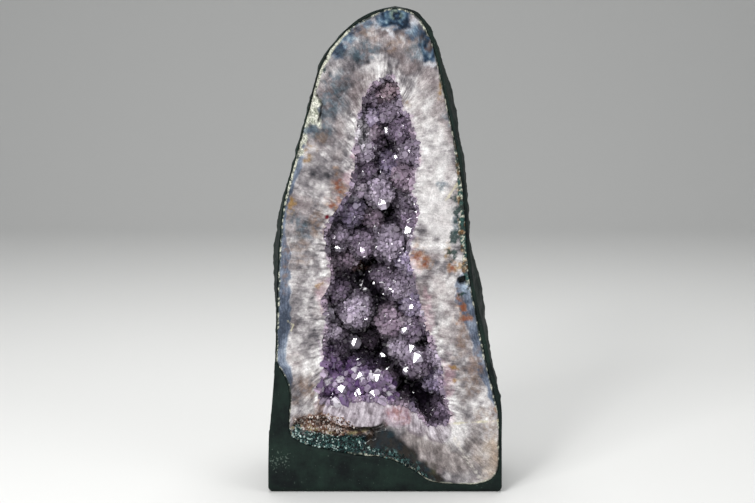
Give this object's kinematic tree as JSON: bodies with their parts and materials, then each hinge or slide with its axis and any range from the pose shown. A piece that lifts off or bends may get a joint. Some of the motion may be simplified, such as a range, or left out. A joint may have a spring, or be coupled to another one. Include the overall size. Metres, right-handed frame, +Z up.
{
  "type": "amethyst dome geode",
  "caption": "Tall amethyst geode sawn open at the front, with a banded quartz wall, a hollow lined with violet crystals, and a dark cement coat with a flat foot.",
  "frame": {"origin": "middle of the flat foot, under the middle of the whole stone", "axes": "+Z up, the sawn face with the crystal hollow looks along -Y, +X is on the viewer's right"},
  "size_m": [0.1872, 0.14, 0.386],
  "materials": {
    "cement": "dark green-black painted cement, satin",
    "quartz_wall": "sawn and polished banded quartz and agate",
    "amethyst": "glossy natural crystal faces"
  },
  "bodies": {
    "root": {"cement_shell": "cement", "geode_wall": "quartz_wall", "amethyst_crust": "amethyst"}
  },
  "joints": []
}
